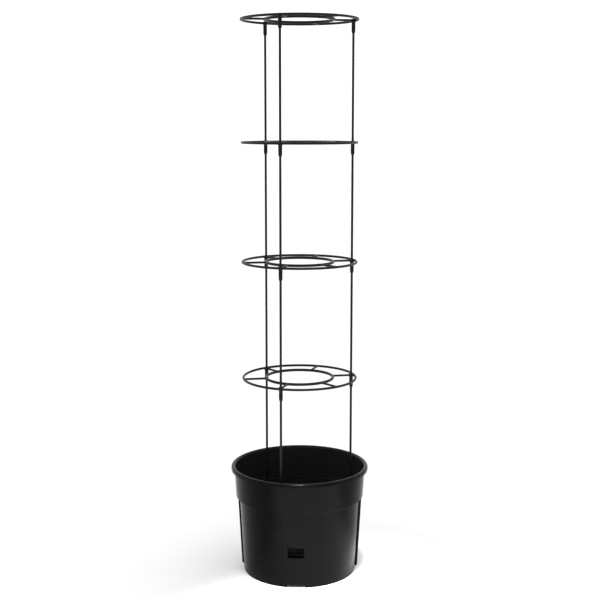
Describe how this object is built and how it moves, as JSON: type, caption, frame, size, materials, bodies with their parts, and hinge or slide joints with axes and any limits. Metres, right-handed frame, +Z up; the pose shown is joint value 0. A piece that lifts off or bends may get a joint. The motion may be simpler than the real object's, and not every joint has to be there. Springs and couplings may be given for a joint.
{
  "type": "planter pot with ring trellis",
  "caption": "Round black plant pot with a low drain window, carrying a stacking climbing-plant trellis of spoked rings held on thin upright rods that plug into the rings' hubs.",
  "frame": {"origin": "centre of the pot's foot on the ground, on the axis of the pot and the rings", "axes": "+Z up along the axis of the pot and the rings; -Y is the front, where the drain window is; +X is to the right seen from the front"},
  "size_m": [0.297, 0.297, 1.1817],
  "materials": {
    "pot_plastic": "satin moulded black polypropylene with a fine grain",
    "ring_plastic": "satin moulded black plastic",
    "rod_coating": "black plastic-coated steel rod, satin"
  },
  "bodies": {
    "pot": {"pot": "pot_plastic"},
    "tier_1": {"ring_1": "ring_plastic", "rod_1_front": "rod_coating", "rod_1_right": "rod_coating", "rod_1_back": "rod_coating"},
    "tier_2": {"ring_2": "ring_plastic", "rod_2_front": "rod_coating", "rod_2_right": "rod_coating", "rod_2_back": "rod_coating"},
    "tier_3": {"ring_3": "ring_plastic", "rod_3_front": "rod_coating", "rod_3_right": "rod_coating", "rod_3_back": "rod_coating"},
    "tier_4": {"crown_ring": "ring_plastic", "rod_4_front": "rod_coating", "rod_4_right": "rod_coating", "rod_4_back": "rod_coating"}
  },
  "joints": [
    {"name": "tier_1_lift", "type": "slide", "parent": "pot", "child": "tier_1", "axis": [0, 0, 1], "range_m": [0, 0.25]},
    {"name": "tier_2_lift", "type": "slide", "parent": "tier_1", "child": "tier_2", "axis": [0, 0, 1], "range_m": [0, 0.05]},
    {"name": "tier_3_lift", "type": "slide", "parent": "tier_2", "child": "tier_3", "axis": [0, 0, 1], "range_m": [0, 0.05]},
    {"name": "tier_4_lift", "type": "slide", "parent": "tier_3", "child": "tier_4", "axis": [0, 0, 1], "range_m": [0, 0.05]}
  ]
}
